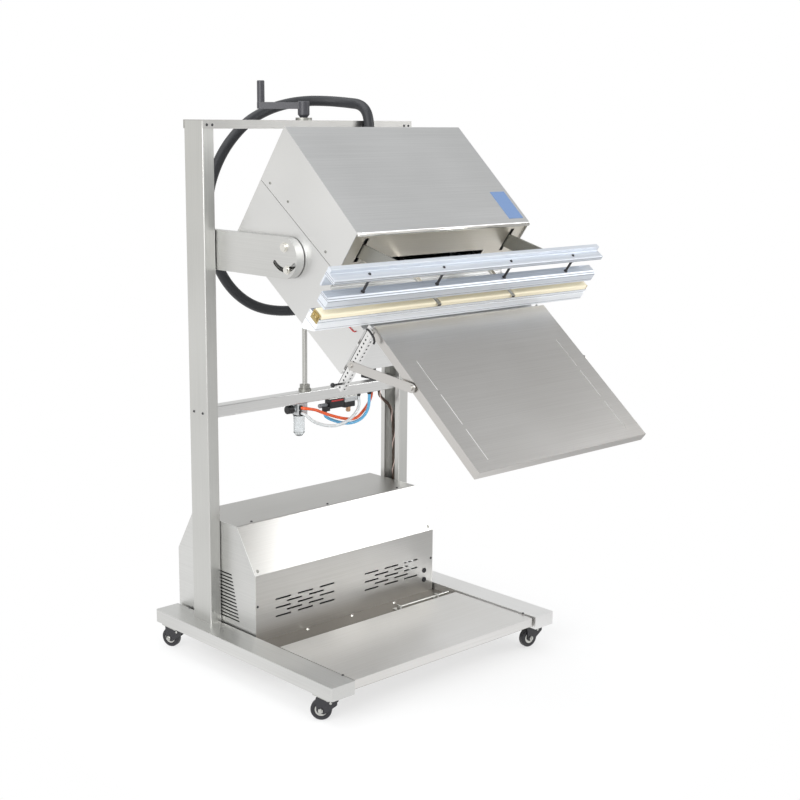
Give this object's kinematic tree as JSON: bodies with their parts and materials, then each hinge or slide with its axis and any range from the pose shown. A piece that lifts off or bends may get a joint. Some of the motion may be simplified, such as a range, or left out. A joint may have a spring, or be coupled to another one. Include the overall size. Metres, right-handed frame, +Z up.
{
  "type": "external vacuum sealer",
  "caption": "Vacuum sealer on a wheeled stand: long heated jaws and suction nozzles on a tilting head with a folding tray, raised by a crank over a pump box and treadle",
  "frame": {"origin": "centre of the footprint, on the floor under the wheels", "axes": "+X across the machine to the operator's right, +Y away from the operator, +Z up"},
  "size_m": [1.044, 1.2592, 1.735],
  "materials": {
    "brushed_sheet": "brushed stainless sheet",
    "satin_steel": "brushed stainless sheet",
    "plated_steel": "zinc plated",
    "bright_aluminium": "clear anodised",
    "black_steel": "black",
    "black_rubber": "matt",
    "wheel_tread": "moulded",
    "silicone": "cream silicone",
    "black_plastic": "moulded",
    "bronze": "bearing bronze",
    "bowl_plastic": "smoked",
    "orange_plastic": "tube",
    "blue_plastic": "tube",
    "clear_plastic": "tube"
  },
  "bodies": {
    "frame": {"base_rail_left": "brushed_sheet", "base_rail_right": "brushed_sheet", "base_deck": "satin_steel", "treadle_hardware": "plated_steel", "caster_plates": "plated_steel", "box_cover": "brushed_sheet", "box_ends": "brushed_sheet", "vacuum_pump": "black_steel", "electrical_units": "black_steel", "post_left": "brushed_sheet", "post_right": "brushed_sheet", "top_beam": "brushed_sheet", "lower_beam": "brushed_sheet", "screw_bearings": "bronze", "hose_loop": "black_rubber", "hose_tail": "black_rubber", "hose_fittings": "black_plastic", "filter_housing": "bright_aluminium", "filter_bowl": "bowl_plastic", "solenoid_valves": "black_plastic", "tube_orange": "orange_plastic", "tube_blue": "blue_plastic", "tube_clear": "clear_plastic", "wire_harness": "black_rubber"},
    "treadle": {"foot_treadle": "satin_steel"},
    "regulator": {"regulator_knob": "black_plastic"},
    "crank": {"lead_screw": "plated_steel", "crank_handle": "black_steel"},
    "grip": {"crank_grip": "black_plastic"},
    "carriage": {"carriage_arm_left": "brushed_sheet", "carriage_arm_right": "brushed_sheet", "carriage_sliders": "black_plastic", "carriage_beam": "brushed_sheet", "lift_nut": "bronze"},
    "head": {"head_body": "satin_steel", "head_cover": "brushed_sheet", "front_panel": "satin_steel", "tilt_bolts": "plated_steel", "lower_jaw": "bright_aluminium", "silicone_strip": "silicone", "jaw_cylinders": "bright_aluminium", "nozzle_cylinder": "bright_aluminium", "tray_bearers": "satin_steel"},
    "upper_jaw": {"jaw_yoke": "plated_steel", "carrier_bar": "bright_aluminium", "seal_bar": "bright_aluminium"},
    "jaw_push_rods": {"jaw_rods": "plated_steel"},
    "nozzles": {"nozzle_slide": "satin_steel"},
    "tray": {"work_tray": "satin_steel"},
    "links": {"tray_links": "satin_steel"},
    "knob_left": {"strut_knob_left": "black_plastic"},
    "knob_right": {"strut_knob_right": "black_plastic"},
    "fork_front_left": {"caster_fork_front_left": "black_steel"},
    "wheel_front_left": {"caster_wheel_front_left": "wheel_tread"},
    "fork_rear_left": {"caster_fork_rear_left": "black_steel"},
    "wheel_rear_left": {"caster_wheel_rear_left": "wheel_tread"},
    "fork_front_right": {"caster_fork_front_right": "black_steel"},
    "wheel_front_right": {"caster_wheel_front_right": "wheel_tread"},
    "fork_rear_right": {"caster_fork_rear_right": "black_steel"},
    "wheel_rear_right": {"caster_wheel_rear_right": "wheel_tread"}
  },
  "joints": [
    {"name": "crank_turn", "type": "hinge", "parent": "frame", "child": "crank", "pos_m": [0, 0.44963, 1.65], "axis": [0, 0, -1], "range_deg": [-10800, 7200]},
    {"name": "grip_spin", "type": "hinge", "parent": "crank", "child": "grip", "pos_m": [-0.09461, 0.53879, 1.69], "axis": [0, 0, 1], "continuous": true},
    {"name": "lift", "type": "slide", "parent": "frame", "child": "carriage", "axis": [0, 0, 1], "range_m": [-0.3002, 0.2002], "deforming": ["hose_tail"]},
    {"name": "head_tilt", "type": "hinge", "parent": "carriage", "child": "head", "pos_m": [0, 0.08863, 1.2775], "axis": [1, 0, 0], "range_deg": [-22, 54]},
    {"name": "jaw_swing", "type": "hinge", "parent": "head", "child": "upper_jaw", "pos_m": [0, 0.17413, 1.3622], "axis": [-1, 0, 0], "range_deg": [-1.95, 3]},
    {"name": "jaw_rod_travel", "type": "slide", "parent": "head", "child": "jaw_push_rods", "axis": [0, -0.5896, 0.8077], "range_m": [-0.006, 0.009]},
    {"name": "nozzle_travel", "type": "slide", "parent": "head", "child": "nozzles", "axis": [0, -0.8077, -0.5896], "range_m": [-0.06, 0]},
    {"name": "tray_hinge", "type": "hinge", "parent": "head", "child": "tray", "pos_m": [0, -0.23678, 1.07709], "axis": [1, 0, 0], "range_deg": [-17, 10]},
    {"name": "link_hinge", "type": "hinge", "parent": "tray", "child": "links", "pos_m": [0, -0.39196, 0.95247], "axis": [1, 0, 0], "range_deg": [-10.1, 17.1]},
    {"name": "knob_pull_left", "type": "slide", "parent": "head", "child": "knob_left", "axis": [-1, 0, 0], "range_m": [0, 0.006], "stiffness_N_per_m": 800, "springref_m": -0.002},
    {"name": "knob_pull_right", "type": "slide", "parent": "head", "child": "knob_right", "axis": [1, 0, 0], "range_m": [0, 0.006], "stiffness_N_per_m": 800, "springref_m": -0.002},
    {"name": "treadle_press", "type": "hinge", "parent": "frame", "child": "treadle", "pos_m": [0, 0.11063, 0.102], "axis": [1, 0, 0], "range_deg": [0, 2.4], "stiffness_Nm_per_rad": 150, "springref_deg": -4.58},
    {"name": "regulator_turn", "type": "hinge", "parent": "frame", "child": "regulator", "pos_m": [-0.06, 0.44963, 0.726], "axis": [-1, 0, 0], "range_deg": [-150, 150]},
    {"name": "swivel_front_left", "type": "hinge", "parent": "frame", "child": "fork_front_left", "pos_m": [-0.4215, -0.16387, 0.07], "axis": [0, 0, 1], "continuous": true},
    {"name": "roll_front_left", "type": "hinge", "parent": "fork_front_left", "child": "wheel_front_left", "pos_m": [-0.43593, -0.14727, 0.03], "axis": [0.7547, 0.6561, 0], "continuous": true},
    {"name": "swivel_rear_left", "type": "hinge", "parent": "frame", "child": "fork_rear_left", "pos_m": [-0.4215, 0.56563, 0.07], "axis": [0, 0, 1], "continuous": true},
    {"name": "roll_rear_left", "type": "hinge", "parent": "fork_rear_left", "child": "wheel_rear_left", "pos_m": [-0.42902, 0.5863, 0.03], "axis": [0.9397, 0.342, 0], "continuous": true},
    {"name": "swivel_front_right", "type": "hinge", "parent": "frame", "child": "fork_front_right", "pos_m": [0.4215, -0.16387, 0.07], "axis": [0, 0, 1], "continuous": true},
    {"name": "roll_front_right", "type": "hinge", "parent": "fork_front_right", "child": "wheel_front_right", "pos_m": [0.39966, -0.16119, 0.03], "axis": [0.1219, 0.9925, 0], "continuous": true},
    {"name": "swivel_rear_right", "type": "hinge", "parent": "frame", "child": "fork_rear_right", "pos_m": [0.4215, 0.56563, 0.07], "axis": [0, 0, 1], "continuous": true},
    {"name": "roll_rear_right", "type": "hinge", "parent": "fork_rear_right", "child": "wheel_rear_right", "pos_m": [0.40888, 0.58365, 0.03], "axis": [0.8192, 0.5736, 0], "continuous": true}
  ],
  "couplings": [
    {"joint": "lift", "follows": "crank_turn", "m_per_rad": 0.0015915},
    {"joint": "jaw_rod_travel", "follows": "jaw_swing", "m_per_rad": 0.15},
    {"joint": "link_hinge", "follows": "tray_hinge", "ratio": -1}
  ]
}
